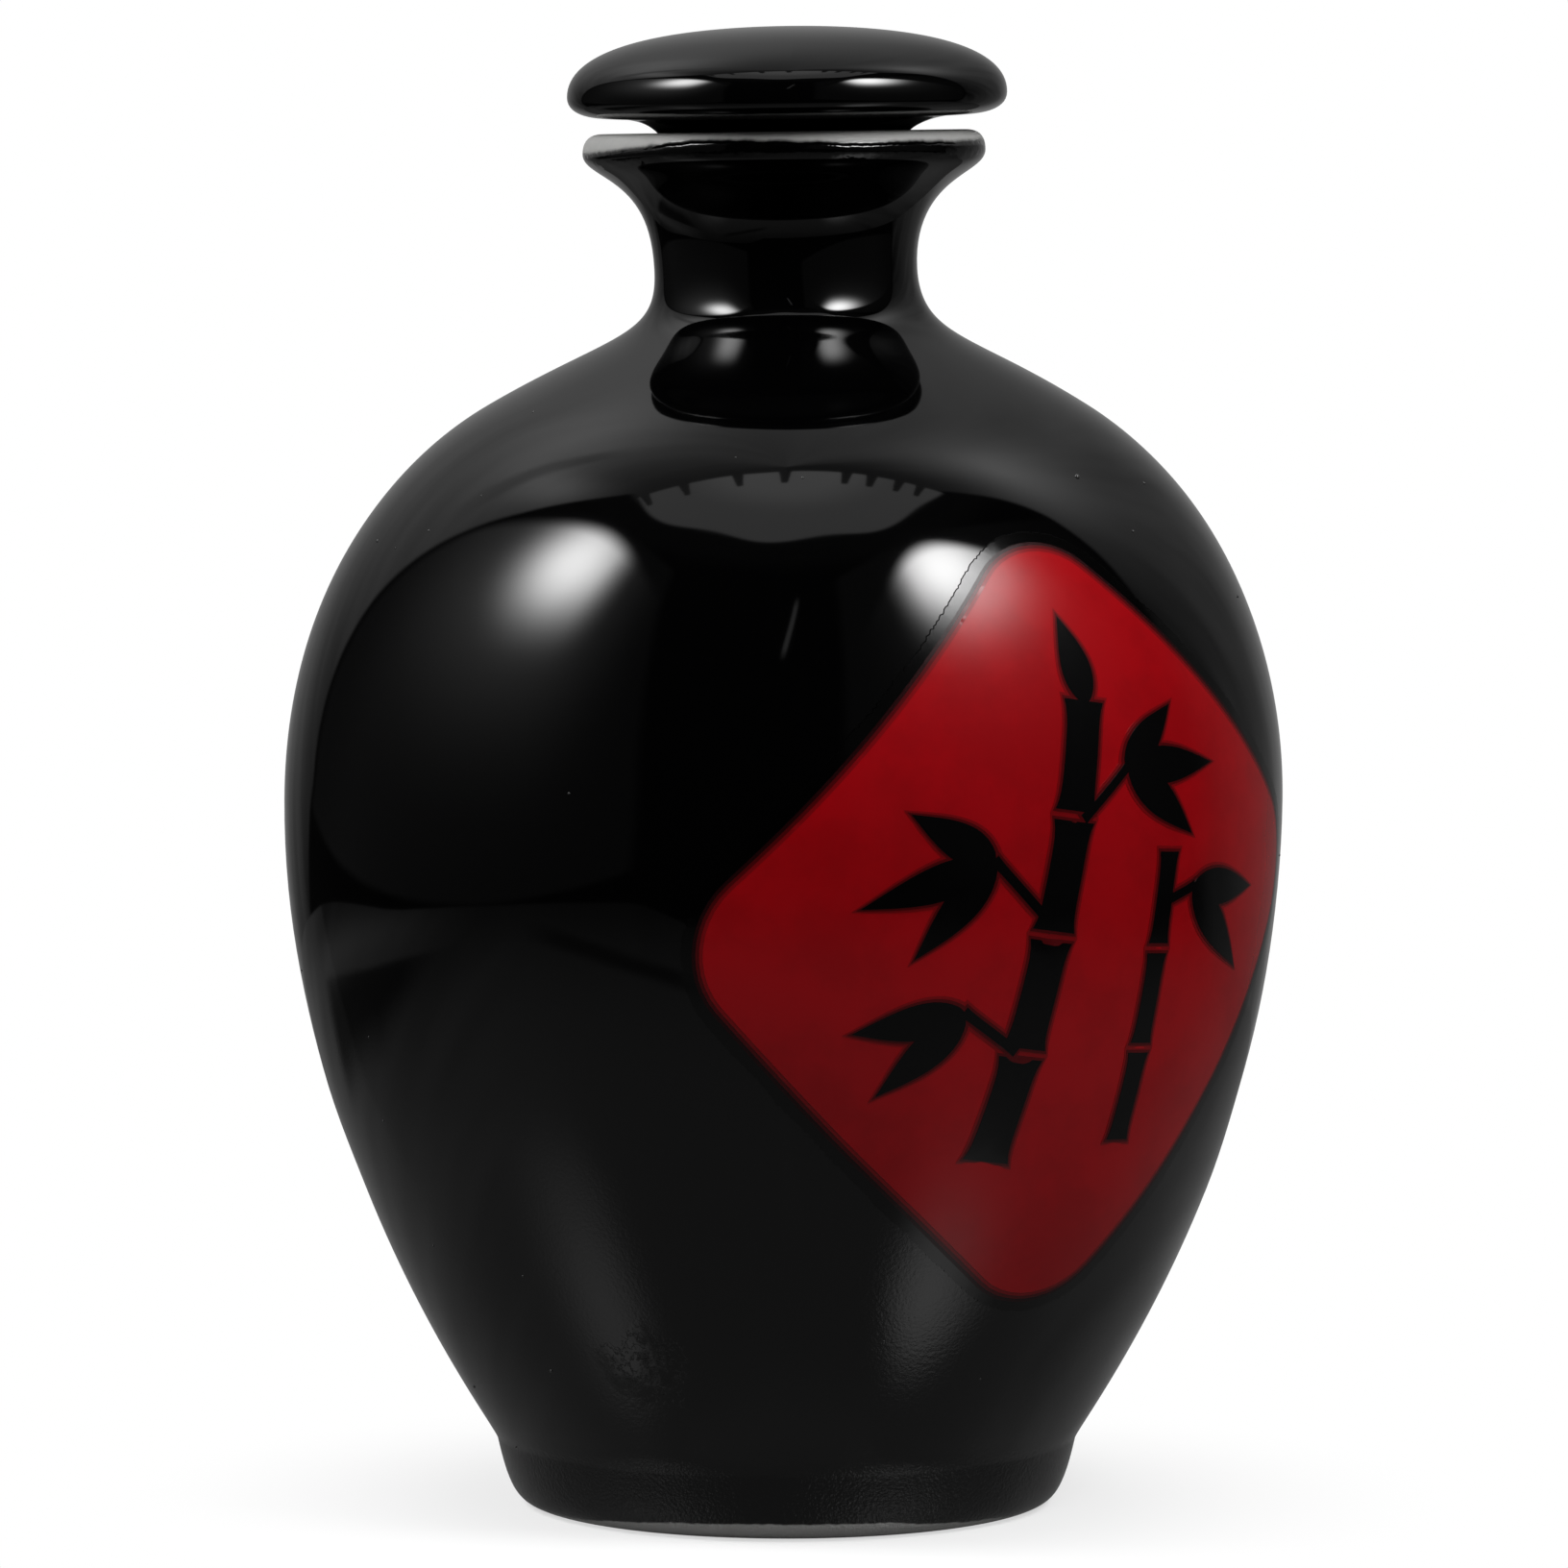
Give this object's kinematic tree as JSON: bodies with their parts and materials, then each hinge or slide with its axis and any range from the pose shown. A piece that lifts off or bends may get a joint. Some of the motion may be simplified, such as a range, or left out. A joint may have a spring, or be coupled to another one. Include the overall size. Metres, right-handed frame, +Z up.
{
  "type": "stoppered ceramic wine jar",
  "caption": "Black-glazed ceramic jar with a round shoulder, short flared neck, lift-off mushroom stopper with a ribbed sleeve, and a red diamond label on the belly.",
  "frame": {"origin": "centre of the foot ring, on the surface that the jar stands on", "axes": "+Z up along the jar's turning axis; the label faces -Y; +X to the label's right"},
  "size_m": [0.1, 0.1005, 0.1481],
  "materials": {
    "black_glaze": "glossy black glaze, satin on the lower belly and foot, bare pale clay at the lip and foot edges",
    "label_red": "satin red on-glaze print with a darker red edge",
    "stopper_glaze": "glossy black glaze, bare pale clay on the stem",
    "silicone": "matte translucent white silicone"
  },
  "bodies": {
    "jar": {"jar_body": "black_glaze", "label_decal": "label_red"},
    "closure": {"stopper": "stopper_glaze", "sealing_sleeve": "silicone"}
  },
  "joints": [
    {"name": "stopper_lift", "type": "slide", "parent": "jar", "child": "closure", "axis": [0, 0, 1], "range_m": [0, 0.06]}
  ]
}
